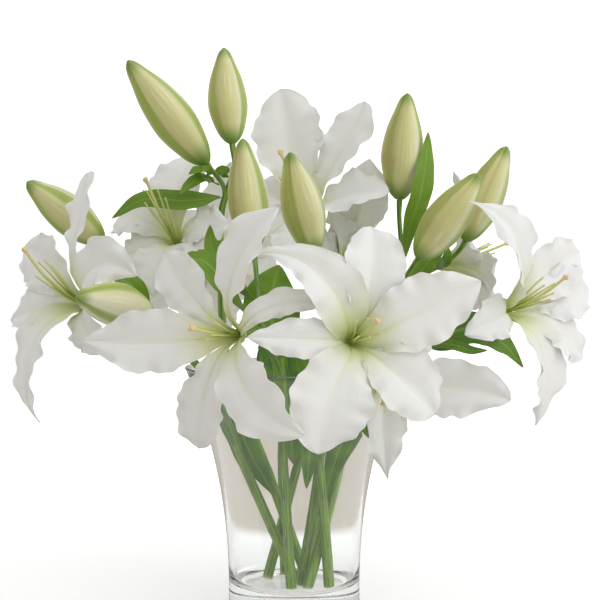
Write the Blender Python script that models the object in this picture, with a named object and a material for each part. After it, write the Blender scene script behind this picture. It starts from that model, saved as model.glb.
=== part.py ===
"""A clear flared vase of cut white lilies: vase, stems, flowers, pistils, buds and leaves.

Lengths are in metres and angles in degrees, +Z is up. The vase stands on z = 0 with its axis on Z,
and the front of the bouquet looks along -Y. A heading is (turn, rise): turn 0 faces -Y, turn 90
faces +X, and rise lifts it from the horizontal.
"""
import math
from collections import namedtuple

import bmesh
import bpy
import numpy as np

MM = 0.001
SEAT = 0.3 * MM                    # clearance where one piece sits on another

VASE_HEIGHT = 205 * MM
FOOT_RADIUS = 56 * MM
RIM_RADIUS = 93 * MM
GLASS_FLOOR = 20 * MM              # thickness of the bottom
FLOOR_CORNER = 6 * MM              # bevel between the floor and the inside wall
WALL_AT_FOOT = 4 * MM
WALL_AT_RIM = 3 * MM
VASE_SEGMENTS = 32

STEM_FOOT_RADIUS = 4.4 * MM
STEM_TOP_RADIUS = 2.6 * MM
STALK_RADIUS = 2.0 * MM            # the short stalk of one flower or bud
NECK_RUN = 22 * MM                 # straight run of a stem below its head
STEM_STEPS = 26

HUB_RADIUS = 4.6 * MM              # receptacle that carries the six tepals
HUB_NECK_RADIUS = 2.6 * MM
HUB_DEPTH = 7 * MM
HUB_TOP = 2.2 * MM
HUB_SHOULDER = 2 * MM
TEPAL_SEAT_RADIUS = 3.8 * MM
TEPAL_THICKNESS = 1.2 * MM
TEPAL_CAMBER = 0.25                # depth of a tepal's section, as a share of its half width
THROAT = 18                        # angle of the tepals to the flower's axis at the base
CLAW = 1.3                         # the higher, the longer a tepal stays narrow above its seat
SEAT_TURN_SHARE = 0.35             # share of the length where a tepal has left its even seat
OPEN_SHARE = 0.5                   # share of the length where a tepal has opened
CURL_SHARE = 0.4                   # share of the length where it starts to curl
TEPAL_STEPS, TEPAL_SPAN = 6, 2

NECTARY_RADIUS = 2.4 * MM
NECTARY_HEIGHT = 3 * MM
STYLE_RADIUS = 1.5 * MM
STIGMA_RADIUS = 3.2 * MM
STIGMA_BELOW, STIGMA_ABOVE = 2.5 * MM, 2 * MM
FILAMENT_RADIUS = 0.9 * MM
FILAMENT_CIRCLE = 1.4 * MM         # the six filaments start on this circle
FILAMENT_SHARE = 0.74              # length of the filaments, as a share of the style's
FILAMENT_SPREAD = 0.15             # how far they part, as a share of the style's length
ROOT_LIFT = 1 * MM                 # style and filaments start this far up inside the nectary

LEAF_THICKNESS = 1.0 * MM
LEAF_FOLD = 0.2                    # depth of a leaf's fold, as a share of its half width
LEAF_TURN_SHARE = 0.4              # share of the length where its face has turned to the named way
LEAF_STEPS, LEAF_SPAN = 6, 2

Tepal = namedtuple("Tepal", "around open curl length width sway twist peak point", defaults=(0.58, 1.0))
Flower = namedtuple("Flower", "centre heading style lift tepals")
Bud = namedtuple("Bud", "base tip width")
Stem = namedtuple("Stem", "foot rim via end stalks")
Leaf = namedtuple("Leaf", "run at points width up peak", defaults=(0.42,))

# Flowers: centre in mm, heading, the style's length along the axis and its rise at the end in mm, and
# six tepals. A tepal leaves the axis towards around (0 right, 90 up), opens to open degrees, curls
# further by curl, and sways sideways by sway and rolls by twist towards its tip. It is widest at the
# share peak of its length, and the higher point is, the more its tip narrows.
FLOWERS = {
    "front_left": Flower((-40, -142, 241), (-28, 4), 65, 4, (
        Tepal(78, 82, 20, 118, 44, -36, 30, 0.70, 0.8),
        Tepal(133, 84, 20, 88, 40, -4, 0, 0.66, 0.6),
        Tepal(187, 66, 10, 118, 48, -8, 0, 0.55, 1.0),
        Tepal(252, 88, 30, 98, 40, 8, 0, 0.66, 0.6),
        Tepal(300, 70, 30, 128, 46, 44, 0, 0.60, 1.0),
        Tepal(56, 110, 20, 90, 20, -78, 0, 0.60, 0.8))),
    "front_right": Flower((42, -145, 236), (14, 12), 69, 5, (
        Tepal(101, 84, 25, 124, 42, 92, 0, 0.42, 1.6),
        Tepal(78, 78, 60, 100, 48, 8, 0, 0.60, 0.7),
        Tepal(25, 74, 5, 110, 53, 0, 0, 0.54, 0.8),
        Tepal(-44, 78, 60, 94, 50, 0, 0, 0.60, 0.8),
        Tepal(229, 85, 30, 102, 62, 38, 0, 0.60, 0.7),
        Tepal(182, 84, 20, 92, 30, -8, 0, 0.55, 0.9))),
    "low_right": Flower((64, -88, 216), (8, -22), 40, -15, (
        Tepal(10, 84, 15, 118, 52, -38, 0, 0.56, 0.8),
        Tepal(268, 72, 30, 98, 36, 14, 0, 0.50, 1.4),
        Tepal(222, 70, 20, 44, 34, 0, 0),
        Tepal(160, 60, 20, 34, 30, 0, 0),
        Tepal(98, 90, 30, 72, 38, 0, 0),
        Tepal(54, 85, 30, 66, 36, 0, 0))),
    "right": Flower((171, -20, 252), (50, 14), 67, 15, (
        Tepal(125, 66, 64, 142, 48, 22, 0, 0.50, 1.4),
        Tepal(25, 74, 10, 104, 50, -6, 0, 0.60, 0.6),
        Tepal(8, 76, 10, 100, 50, -7, 0, 0.62, 0.6),
        Tepal(-26, 78, 30, 98, 46, -14, 0, 0.60, 0.8),
        Tepal(-60, 98, 36, 118, 52, -36, 0, 0.58, 1.2),
        Tepal(186, 96, 30, 78, 36, 18, 0, 0.55, 0.8))),
    "left": Flower((-168, -30, 258), (-48, 18), 72, 26, (
        Tepal(240, 84, 50, 126, 44, 66, 0, 0.42, 2.0),
        Tepal(136, 66, 20, 84, 48, 22, 0, 0.62, 0.6),
        Tepal(205, 62, 30, 74, 38, 0, 0, 0.60, 0.8),
        Tepal(69, 86, 20, 124, 34, 60, 0, 0.76, 0.6),
        Tepal(68, 84, 54, 98, 44, -108, 0, 0.56, 0.9),
        Tepal(-46, 98, 30, 64, 34, 0, 0, 0.56, 0.8))),
    "back_left": Flower((-100, 30, 306), (-25, 40), 78, 8, (
        Tepal(100, 96, 12, 112, 60, 0, 0, 0.60, 0.7),
        Tepal(160, 88, 40, 82, 50, 10, 0, 0.60, 0.7),
        Tepal(4, 86, 20, 56, 46, 24, 0, 0.60, 0.7),
        Tepal(212, 80, 40, 56, 42, 0, 0),
        Tepal(275, 84, 40, 74, 48, 0, 0),
        Tepal(-28, 80, 40, 66, 46, 0, 0))),
    "top": Flower((18, 60, 325), (-30, 45), 86, 2, (
        Tepal(115, 52, 10, 130, 66, -4, 0, 0.62, 0.6),
        Tepal(44, 60, 10, 122, 50, 36, 0, 0.66, 0.6),
        Tepal(0, 70, 30, 104, 48, 0, 0, 0.60, 0.7),
        Tepal(160, 75, 40, 84, 48, 0, 0),
        Tepal(220, 75, 40, 72, 46, 0, 0),
        Tepal(290, 75, 40, 98, 50, 0, 0))),
    "centre_right": Flower((42, 20, 290), (140, 45), 88, 8, (
        Tepal(107, 40, 8, 94, 46, 0, 0, 0.60, 0.8),
        Tepal(62, 45, 20, 52, 42, 0, 0),
        Tepal(-4, 60, 30, 50, 42, 0, 0),
        Tepal(-62, 74, 40, 84, 50, 0, 0),
        Tepal(-118, 70, 40, 54, 42, 0, 0),
        Tepal(176, 46, 20, 44, 38, 0, 0))),
    "back_right": Flower((135, 70, 290), (100, 15), 62, 4, (
        Tepal(88, 72, 40, 92, 52, 0, 0),
        Tepal(142, 78, 40, 56, 42, 0, 0),
        Tepal(207, 84, 80, 90, 50, 8, 0),
        Tepal(272, 86, 80, 90, 48, 0, 0),
        Tepal(326, 84, 80, 92, 50, -10, 0),
        Tepal(31, 76, 30, 98, 50, 6, 0))),
    "rear": Flower((-60, 130, 285), (-160, 20), 88, 8, (
        Tepal(93, 78, 30, 110, 52, -8, 0),
        Tepal(148, 84, 34, 104, 48, 10, 0),
        Tepal(214, 76, 26, 112, 54, 0, 0),
        Tepal(268, 82, 44, 106, 50, 6, 0),
        Tepal(327, 74, 30, 114, 52, -6, 0),
        Tepal(32, 80, 38, 102, 48, 0, 0))),
}

# Buds: base, tip and width in mm.
BUDS = {
    "bud_1": Bud((-74, 0, 377), (-138, -20, 461), 36),
    "bud_2": Bud((-53, 10, 395), (-60, 10, 476), 33),
    "bud_3": Bud((-32, -60, 304), (-41, -60, 393), 32),
    "bud_4": Bud((17, -50, 302), (-3, -60, 382), 34),
    "bud_5": Bud((90, 6, 347), (96, -2, 436), 35),
    "bud_6": Bud((102, -40, 297), (149, -60, 365), 34),
    "bud_7": Bud((148, 20, 312), (182, 10, 392), 33),
    "bud_8": Bud((-164, 10, 311), (-224, -12, 361), 33),
    "bud_9": Bud((-112, -80, 253), (-163, -130, 269), 34),
}

# Stems: where the foot stands on the vase floor and where the stem passes the rim, both (x, y) in mm,
# points in mm on its way, the head it ends in, and the stalks that leave it: (head, share of the
# stem's length where the stalk starts).
STEMS = {
    "stem_1": Stem((-2, -33), (-13, -65), (), "front_left", (("bud_3", 0.80),)),
    "stem_2": Stem((29, -30), (15, -68), (), "front_right", (("bud_4", 0.76),)),
    "stem_3": Stem((6, -20), (32, -50), (), "low_right", ()),
    "stem_4": Stem((11, -34), (60, -14), (), "right", ()),
    "stem_5": Stem((6, 20), (62, 24), ((86, 8, 262),), "back_right", (
        ("bud_5", 0.74), ("bud_6", 0.72), ("bud_7", 0.80))),
    "stem_6": Stem((-23, 1), (28, 63), (), "top", (("centre_right", 0.62),)),
    "stem_7": Stem((-8, 16), (-14, 66), (), "rear", ()),
    "stem_8": Stem((11, 1), (-58, 26), ((-64, 30, 290), (-63, 26, 338)), "bud_2", (
        ("back_left", 0.66), ("bud_1", 0.86))),
    "stem_9": Stem((2, -9), (-78, -26), (), "left", (("bud_8", 0.88), ("bud_9", 0.80))),
}

# Leaves: the run that carries each and the share of its length, points in mm out to the tip, the
# width in mm, the way the upper face looks, and the share of the leaf's length where it is widest.
LEAVES = {
    "leaf_01": Leaf("stem_8", 0.87, ((-94, 16, 346), (-130, 15, 347), (-157, 15, 331)), 16, (0, -1, 0.35)),
    "leaf_02": Leaf("bud_1", 0.80, ((-79, -12, 371), (-88, -16, 367)), 10, (0, -0.6, 0.8)),
    "leaf_03": Leaf("bud_1", 0.50, ((-80, -4, 364), (-96, -12, 351)), 10, (0, -0.8, 0.6), 0.6),
    "leaf_04": Leaf("bud_5", 0.42, ((98, -8, 325), (105, -14, 348), (110, -12, 374), (113, -6, 403)), 17,
                    (0.3, -1, 0), 0.55),
    "leaf_05": Leaf("stem_5", 0.70, ((108, -4, 286), (122, -10, 303), (132, -18, 315)), 12, (-0.5, -1, 0.3)),
    "leaf_06": Leaf("stem_4", 0.78, ((122, -50, 235), (141, -60, 241), (158, -55, 237), (168, -53, 229),
                    (176, -51, 222), (187, -49, 208)), 25, (0, -1, 0.3), 0.28),
    "leaf_07": Leaf("stem_4", 0.74, ((126, -62, 228), (141, -70, 224), (154, -74, 224)), 7, (0, -1, 0.3)),
    "leaf_08": Leaf("stem_1", 0.72, ((-18, -60, 262), (-12, -58, 292)), 44, (0, -1, 0.2)),
    "leaf_09": Leaf("bud_3", 0.50, ((-58, -58, 292), (-67, -54, 308), (-68, -50, 324)), 14, (0.5, -1, 0)),
    "leaf_10": Leaf("bud_3", 0.25, ((-66, -68, 290), (-80, -64, 296), (-92, -60, 298)), 18, (0, -0.8, 0.6)),
    "leaf_11": Leaf("stem_9", 0.86, ((-132, -40, 272), (-150, -44, 284)), 20, (0, -0.8, 0.6)),
    "leaf_12": Leaf("stem_2", 0.65, ((15, -72, 180), (13, -62, 146), (10, -53, 110)), 20, (0.2, -1, 0)),
    "leaf_13": Leaf("stem_2", 0.82, ((37, -121, 206), (46, -129, 184), (57, -127, 162)), 14, (0.3, -1, 0)),
    "leaf_14": Leaf("stem_9", 0.58, ((-54, -12, 172), (-36, -8, 130), (-16, -4, 94)), 24, (-0.3, -1, 0)),
    "leaf_15": Leaf("stem_4", 0.58, ((50, -32, 168), (37, -32, 138), (25, -35, 100)), 24, (-0.3, -1, 0)),
    "leaf_16": Leaf("stem_8", 0.50, ((-60, 14, 178), (-53, 11, 148), (-46, 8, 116)), 22, (-0.6, -1, 0)),
    "leaf_17": Leaf("stem_7", 0.62, ((-10, 92, 225), (10, 122, 235), (20, 150, 225)), 34, (0, 0.3, 1)),
    "leaf_18": Leaf("stem_6", 0.66, ((70, 75, 250), (92, 100, 262), (110, 122, 255)), 34, (0, 0.3, 1)),
    "leaf_19": Leaf("stem_7", 0.68, ((-12, 50, 212), (-8, 30, 180), (-4, 22, 150), (0, 14, 118)), 46,
                    (0.2, -1, 0)),
    "leaf_20": Leaf("stem_8", 0.92, ((-62, 16, 372), (-70, 18, 368)), 8, (0, -1, 0.4)),
    "leaf_21": Leaf("bud_7", 0.55, ((129, -4, 296), (130, -6, 307)), 8, (0, -1, 0.2)),
}

# Colour, roughness and transmission of each material.
FINISHES = {
    "glass": ((0.90, 0.95, 0.93), 0.02, 1.0),
    "petal": ((0.86, 0.85, 0.82), 0.50, 0.0),
    "pistil": ((0.72, 0.76, 0.38), 0.50, 0.0),
    "bud": ((0.56, 0.64, 0.30), 0.48, 0.0),
    "stem": ((0.16, 0.34, 0.07), 0.45, 0.0),
    "leaf": ((0.10, 0.27, 0.04), 0.42, 0.0),
}


def clear_scene():
    for old in list(bpy.data.objects):
        bpy.data.objects.remove(old)


def unit(vector):
    vector = np.asarray(vector, float)
    return vector / np.linalg.norm(vector, axis=-1, keepdims=True)


def ease(x):
    """A smooth rise from 0 to 1."""
    x = np.clip(x, 0, 1)
    return x * x * (3 - 2 * x)


def place(point_mm):
    return np.array(point_mm, float) * MM


def heading_vector(turn, rise):
    turn, rise = math.radians(turn), math.radians(rise)
    return np.array([math.sin(turn) * math.cos(rise), -math.cos(turn) * math.cos(rise), math.sin(rise)])


def frame_about(axis):
    """Right and up directions square to the axis."""
    up = unit(np.array([0, 0, 1.0]) - axis[2] * axis)
    return np.cross(up, axis), up


def smooth_path(points, steps):
    """Catmull-Rom curve through the points."""
    points = np.asarray(points, float)
    ends = np.concatenate([[2 * points[0] - points[1]], points, [2 * points[-1] - points[-2]]])
    u = np.linspace(0, len(points) - 1, steps + 1)
    i = np.minimum(u.astype(int), len(points) - 2)
    f = (u - i)[:, None]
    a, b, c, d = ends[i], ends[i + 1], ends[i + 2], ends[i + 3]
    return 0.5 * (2 * b + (c - a) * f + (2 * a - 5 * b + 4 * c - d) * f**2 + (3 * b - a - 3 * c + d) * f**3)


def arc_path(start, start_way, end, end_way, steps):
    """Cubic curve that leaves start along start_way and arrives at end along end_way."""
    reach = np.linalg.norm(end - start) * 0.4
    points = (start, start + unit(start_way) * reach, end - unit(end_way) * reach, end)
    t = np.linspace(0, 1, steps + 1)[:, None]
    return sum(math.comb(3, k) * t**k * (1 - t) ** (3 - k) * points[k] for k in range(4))


def length_shares(path):
    """The share of the path's length run at each of its points."""
    lengths = np.concatenate([[0], np.cumsum(np.linalg.norm(np.diff(path, axis=0), axis=1))])
    return lengths / lengths[-1]


def point_along(path, share):
    """Point and direction at a share of the path's length."""
    shares = length_shares(path)
    point = np.array([np.interp(share, shares, path[:, k]) for k in range(3)])
    i = min(np.searchsorted(shares, share, side="right"), len(path) - 1)
    return point, unit(path[i] - path[i - 1])


def add_object(name, verts, faces, finish):
    mesh = bpy.data.meshes.new(name)
    mesh.from_pydata([tuple(v) for v in verts], [], faces)
    outline = bmesh.new()
    outline.from_mesh(mesh)
    bmesh.ops.recalc_face_normals(outline, faces=outline.faces)
    outline.to_mesh(mesh)
    outline.free()
    obj = bpy.data.objects.new(name, mesh)
    bpy.context.collection.objects.link(obj)
    mesh.materials.append(material(finish))
    return obj


def material(name):
    made = bpy.data.materials.get(name)
    if made:
        return made
    colour, roughness, transmission = FINISHES[name]
    made = bpy.data.materials.new(name)
    made.use_nodes = True
    shader = made.node_tree.nodes["Principled BSDF"]
    shader.inputs["Base Color"].default_value = (*colour, 1)
    shader.inputs["Roughness"].default_value = roughness
    shader.inputs["Metallic"].default_value = 0
    shader.inputs["Transmission Weight"].default_value = transmission
    return made


def rings(grid):
    """Closed skin over rings of points: grid is (rings, sides, 3), with flat end caps."""
    count, sides = grid.shape[:2]
    faces = [tuple(range(sides))[::-1], tuple(range((count - 1) * sides, count * sides))]
    for i in range(count - 1):
        for j in range(sides):
            k = (j + 1) % sides
            faces.append((i * sides + j, i * sides + k, (i + 1) * sides + k, (i + 1) * sides + j))
    return grid.reshape(-1, 3), faces


def tube(path, radii, sides, end_way=None):
    """Round tube along a path, its frame carried along without twist. end_way squares its far end."""
    ways = unit(np.gradient(path, axis=0))
    if end_way is not None:
        ways[-1] = end_way
    side = unit(np.cross(ways[0], (0.3, 1.0, 0.2)))
    angles = np.arange(sides) * 2 * math.pi / sides
    grid = []
    for point, way, radius in zip(path, ways, np.broadcast_to(radii, len(path))):
        side = unit(side - side.dot(way) * way)
        other = np.cross(way, side)
        grid.append([point + radius * (math.cos(a) * side + math.sin(a) * other) for a in angles])
    return rings(np.array(grid))


def turned(base, axis, profile, sides, lobes=0.0):
    """Body turned about an axis: profile holds (height, radius). lobes gives it three soft lobes."""
    right, up = frame_about(unit(axis))
    angles = np.arange(sides) * 2 * math.pi / sides
    grid = []
    for height, radius in profile:
        spread = radius * (1 + lobes * np.cos(3 * angles))[:, None]
        turn = np.cos(angles)[:, None] * right + np.sin(angles)[:, None] * up
        grid.append(base + height * unit(axis) + spread * turn)
    return rings(np.array(grid))


def thin_shell(grid, thickness):
    """Closed sheet of even thickness over a grid of points (steps + 1, span + 1, 3)."""
    along = np.gradient(grid, axis=0)
    across = np.gradient(grid, axis=1)
    normal = unit(np.cross(along, across)) * thickness / 2
    rows, columns = grid.shape[:2]
    verts = np.concatenate([(grid + normal).reshape(-1, 3), (grid - normal).reshape(-1, 3)])
    under = rows * columns
    faces = []
    for i in range(rows - 1):
        for j in range(columns - 1):
            a, b = i * columns + j, (i + 1) * columns + j
            faces.append((a, b, b + 1, a + 1))
            faces.append((under + a, under + a + 1, under + b + 1, under + b))
    rim = [(i, 0) for i in range(rows)] + [(rows - 1, j) for j in range(1, columns)]
    rim += [(i, columns - 1) for i in range(rows - 2, -1, -1)] + [(0, j) for j in range(columns - 2, 0, -1)]
    ids = [i * columns + j for i, j in rim]
    for a, b in zip(ids, ids[1:] + ids[:1]):
        faces.append((a, under + a, under + b, b))
    return verts, faces


def union(obj, others):
    """Join closed bodies into obj in one step, which stays exact where several of them meet."""
    group = bpy.data.collections.new("joined")
    for other in others:
        group.objects.link(other)
    joint = obj.modifiers.new("join", "BOOLEAN")
    joint.operation = "UNION"
    joint.operand_type = "COLLECTION"
    joint.collection = group
    graph = bpy.context.evaluated_depsgraph_get()
    joined = bpy.data.meshes.new_from_object(obj.evaluated_get(graph))
    obj.modifiers.clear()
    obj.data = joined
    for other in others:
        bpy.data.objects.remove(other)
    bpy.data.collections.remove(group)


def vase_radius(z):
    """Outer radius: straight near the foot and flaring with the square of the height."""
    t = np.clip((z - GLASS_FLOOR) / (VASE_HEIGHT - GLASS_FLOOR), 0, 1)
    return FOOT_RADIUS + (RIM_RADIUS - FOOT_RADIUS) * t**2


def make_vase():
    """One turned glass body: up the outside, over the rim, down the inside and across the floor."""
    heights = np.linspace(0, VASE_HEIGHT, 8)
    outside = [(vase_radius(z), z) for z in heights]
    inside = []
    for z in np.linspace(VASE_HEIGHT, GLASS_FLOOR + FLOOR_CORNER, 6):
        wall = WALL_AT_FOOT + (WALL_AT_RIM - WALL_AT_FOOT) * z / VASE_HEIGHT
        inside.append((vase_radius(z) - wall, z))
    corner = [(FOOT_RADIUS - WALL_AT_FOOT - FLOOR_CORNER, GLASS_FLOOR)]
    profile = outside + inside + corner
    turns = np.arange(VASE_SEGMENTS) * 2 * math.pi / VASE_SEGMENTS
    grid = np.array([[(r * math.cos(a), r * math.sin(a), z) for a in turns] for r, z in profile])
    verts, faces = rings(grid)
    return add_object("vase", verts, faces, "glass")


def half_width(s, tepal):
    """A tepal's half width: a power of sin(pi s^p), with p set so that it is widest at tepal.peak."""
    p = math.log(0.5) / math.log(tepal.peak)
    power = np.where(s < tepal.peak, CLAW, tepal.point)
    swell = np.sin(math.pi * s**p).clip(0) ** power
    return tepal.width * MM / 2 * swell + 1.6 * MM * (1 - s) ** 3 + 0.5 * MM


def even_seats(flower):
    """Six seats 60 degrees apart, turned to lie nearest to where the tepals go."""
    order = sorted(flower.tepals, key=lambda tepal: tepal.around % 360)
    turns = np.radians([tepal.around - 60 * i for i, tepal in enumerate(order)])
    first = math.degrees(math.atan2(np.sin(turns).sum(), np.cos(turns).sum()))
    seats = {}
    for i, tepal in enumerate(order):
        seats[tepal] = tepal.around + (first + 60 * i - tepal.around + 180) % 360 - 180
    return seats


def tepal_grid(flower, tepal, seat):
    """Middle surface of one tepal, from its seat on the receptacle to its tip."""
    centre, axis = place(flower.centre), heading_vector(*flower.heading)
    right, up = frame_about(axis)
    s = np.linspace(0, 1, TEPAL_STEPS + 1)
    opening = (tepal.open - THROAT) * ease(s / OPEN_SHARE)
    curling = tepal.curl * np.clip((s - CURL_SHARE) / (1 - CURL_SHARE), 0, 1) ** 1.6
    tilt = np.radians(THROAT + opening + curling)[:, None]
    turn = seat + (tepal.around - seat) * ease(s / SEAT_TURN_SHARE) + tepal.sway * s**1.5
    turn = np.radians(turn)[:, None]
    outward = np.cos(turn) * right + np.sin(turn) * up
    way = np.cos(tilt) * axis + np.sin(tilt) * outward
    run = np.cumsum((way[1:] + way[:-1]) / 2, axis=0) * tepal.length * MM / TEPAL_STEPS
    spine = centre + TEPAL_SEAT_RADIUS * outward[0] + np.concatenate([np.zeros((1, 3)), run])
    side = np.cross(axis, outward)
    side = unit(side - (side * way).sum(1, keepdims=True) * way)
    back = np.cross(side, way)
    roll = np.radians(tepal.twist) * ease(s)[:, None]
    side, back = side * np.cos(roll) + back * np.sin(roll), back * np.cos(roll) - side * np.sin(roll)
    half = half_width(s, tepal)[:, None, None]
    v = np.linspace(-1, 1, TEPAL_SPAN + 1)[None, :, None]
    return spine[:, None] + side[:, None] * half * v - back[:, None] * TEPAL_CAMBER * half * v**2


def make_flower(name, flower):
    centre, axis = place(flower.centre), heading_vector(*flower.heading)
    profile = ((-HUB_DEPTH, HUB_NECK_RADIUS), (-HUB_SHOULDER, HUB_RADIUS), (HUB_TOP, HUB_RADIUS))
    hub = add_object(f"lily_{name}", *turned(centre, axis, profile, 10), "petal")
    shells = []
    for tepal, seat in even_seats(flower).items():
        shell = thin_shell(tepal_grid(flower, tepal, seat), TEPAL_THICKNESS)
        shells.append(add_object("tepal", *shell, "petal"))
    union(hub, shells)
    return hub


def make_pistil(name, flower):
    """Style, stigma and six filaments on a small nectary disc inside the throat."""
    axis = heading_vector(*flower.heading)
    centre = place(flower.centre) + axis * (HUB_TOP + SEAT)
    right, up = frame_about(axis)
    disc = turned(centre, axis, ((0, NECTARY_RADIUS), (NECTARY_HEIGHT, NECTARY_RADIUS)), 8)
    disc = add_object(f"pistil_{name}", *disc, "pistil")
    root = centre + axis * ROOT_LIFT
    reach, rise = axis * flower.style * MM, up * flower.lift * MM
    style_end, end_way = centre + reach + rise, reach + 2 * rise
    style = arc_path(root, axis, style_end, end_way, 3)
    stigma = ((-STIGMA_BELOW, STYLE_RADIUS), (0, STIGMA_RADIUS), (STIGMA_ABOVE, STIGMA_RADIUS * 0.8))
    parts = [add_object("style", *tube(style, STYLE_RADIUS, 5), "pistil"),
             add_object("stigma", *turned(style_end, end_way, stigma, 6), "pistil")]
    for k in range(6):
        angle = math.radians(60 * k + 30)
        outward = math.cos(angle) * right + math.sin(angle) * up
        start = root + outward * FILAMENT_CIRCLE
        spread = outward * flower.style * MM * FILAMENT_SPREAD
        end = centre + (reach + rise * 0.8) * FILAMENT_SHARE + spread
        path = arc_path(start, axis, end, reach + rise + spread, 2)
        parts.append(add_object("filament", *tube(path, FILAMENT_RADIUS, 4), "pistil"))
    union(disc, parts)
    return disc


def make_bud(name, bud):
    base, tip = place(bud.base), place(bud.tip)
    length, widest = np.linalg.norm(tip - base), bud.width * MM / 2
    outline = ((0, 0.22), (0.05, 0.46), (0.15, 0.72), (0.32, 0.96), (0.46, 1.0), (0.66, 0.84), (0.84, 0.52),
               (0.95, 0.28), (1.0, 0.14))
    profile = [(length * s, widest * share) for s, share in outline]
    return add_object(name, *turned(base, tip - base, profile, 9, lobes=0.06), "bud")


def head_seat(name):
    """Where a stalk ends under a head, and the way it points there."""
    if name in FLOWERS:
        axis = heading_vector(*FLOWERS[name].heading)
        return place(FLOWERS[name].centre) - axis * (HUB_DEPTH + SEAT), axis
    axis = unit(place(BUDS[name].tip) - place(BUDS[name].base))
    return place(BUDS[name].base) - axis * SEAT, axis


def stem_route(stem):
    """Foot on the vase floor, past the rim, through the named points and up to the head.

    A leaning stem rests on the edge of its cut end, so its centre lies higher there.
    """
    foot = np.array([*place(stem.foot), GLASS_FLOOR + SEAT])
    rim = np.array([*place(stem.rim), VASE_HEIGHT])
    lean = np.hypot(*(rim - foot)[:2]) / np.linalg.norm(rim - foot)
    foot[2] += STEM_FOOT_RADIUS * lean
    seat, way = head_seat(stem.end)
    points = [foot, (foot + rim) / 2, rim, *(place(p) for p in stem.via), seat - way * NECK_RUN, seat]
    return smooth_path(points, STEM_STEPS)


def stem_radius(share):
    return STEM_FOOT_RADIUS + (STEM_TOP_RADIUS - STEM_FOOT_RADIUS) * share


def make_stem(name, stem, runs):
    path = stem_route(stem)
    runs[name] = path
    radii = stem_radius(length_shares(path))
    body = add_object(name, *tube(path[::2], radii[::2], 7, head_seat(stem.end)[1]), "stem")
    stalks = []
    for head, share in stem.stalks:
        start, start_way = point_along(path, share)
        seat, way = head_seat(head)
        stalk = arc_path(start, start_way, seat, way, 6)
        runs[head] = stalk
        stalks.append(add_object("stalk", *tube(stalk, STALK_RADIUS, 6, way), "stem"))
    if stalks:
        union(body, stalks)
    return body


def make_leaf(name, leaf, runs):
    """Thin lance-shaped blade that starts at the skin of the run that carries it.

    At its foot the blade lies along the run's skin, and further out its face turns to leaf.up.
    """
    start, run_way = point_along(runs[leaf.run], leaf.at)
    out = place(leaf.points[0]) - start
    out = unit(out - out.dot(run_way) * run_way)
    skin = STALK_RADIUS if leaf.run in BUDS else stem_radius(leaf.at)
    start = start + out * (skin + SEAT + LEAF_THICKNESS / 2)
    path = smooth_path([start, *(place(p) for p in leaf.points)], LEAF_STEPS)
    ways = unit(np.gradient(path, axis=0))
    s = np.linspace(0, 1, LEAF_STEPS + 1)
    turn = ease(s / LEAF_TURN_SHARE)[:, None]
    look = out * (1 - turn) + unit(leaf.up) * turn
    side = unit(np.cross(ways, look))
    face = np.cross(side, ways)
    swell = np.sin(math.pi * s ** (math.log(0.5) / math.log(leaf.peak))).clip(0) ** 0.8
    half = leaf.width * MM / 2 * swell + 1.2 * MM * (1 - s) + 0.4 * MM
    half = half[:, None, None]
    v = np.linspace(-1, 1, LEAF_SPAN + 1)[None, :, None]
    grid = path[:, None] + side[:, None] * half * v + face[:, None] * LEAF_FOLD * half * abs(v)
    return add_object(name, *thin_shell(grid, LEAF_THICKNESS), "leaf")


def main():
    clear_scene()
    make_vase()
    runs = {}
    for name, stem in STEMS.items():
        make_stem(name, stem, runs)
    for name, flower in FLOWERS.items():
        make_flower(name, flower)
        make_pistil(name, flower)
    for name, bud in BUDS.items():
        make_bud(name, bud)
    for name, leaf in LEAVES.items():
        make_leaf(name, leaf, runs)


main()
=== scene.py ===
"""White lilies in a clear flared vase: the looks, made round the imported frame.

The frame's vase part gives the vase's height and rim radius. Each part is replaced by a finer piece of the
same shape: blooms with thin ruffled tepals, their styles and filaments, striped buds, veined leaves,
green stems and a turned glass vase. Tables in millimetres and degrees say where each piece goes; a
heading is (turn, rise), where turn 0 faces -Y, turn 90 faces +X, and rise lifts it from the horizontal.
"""

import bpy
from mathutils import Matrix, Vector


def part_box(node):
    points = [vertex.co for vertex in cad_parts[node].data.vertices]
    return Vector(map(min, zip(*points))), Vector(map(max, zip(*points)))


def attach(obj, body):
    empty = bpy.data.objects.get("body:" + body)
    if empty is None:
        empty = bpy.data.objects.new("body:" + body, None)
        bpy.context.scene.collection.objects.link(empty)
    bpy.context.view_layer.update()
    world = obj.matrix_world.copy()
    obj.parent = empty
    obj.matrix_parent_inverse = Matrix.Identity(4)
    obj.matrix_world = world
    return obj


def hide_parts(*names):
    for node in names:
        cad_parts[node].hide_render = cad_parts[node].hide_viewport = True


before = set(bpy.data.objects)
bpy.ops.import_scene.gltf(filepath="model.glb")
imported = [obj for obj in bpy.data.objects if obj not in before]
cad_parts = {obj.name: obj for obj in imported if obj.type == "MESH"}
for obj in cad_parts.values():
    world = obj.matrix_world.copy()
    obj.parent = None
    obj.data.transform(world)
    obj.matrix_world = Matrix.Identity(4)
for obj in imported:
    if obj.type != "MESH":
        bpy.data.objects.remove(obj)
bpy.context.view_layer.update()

import math
from collections import namedtuple

import bpy
import numpy as np
from bpy.props import FloatProperty, FloatVectorProperty, PointerProperty
from mathutils import Vector

bl_info = {
    "name": "White Lilies in a Vase",
    "version": (1, 0, 0),
    "blender": (4, 5, 0),
    "location": "View3D > Sidebar > Lilies",
    "description": "Makes cut white lilies, their buds, leaves and stems, and the clear vase they stand in",
    "category": "Add Mesh",
}

MM = 0.001
SEAT = 0.3 * MM                    # clearance where one piece sits on another
ARC_PULL = 0.4                     # the higher, the longer an arc keeps its end directions

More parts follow.
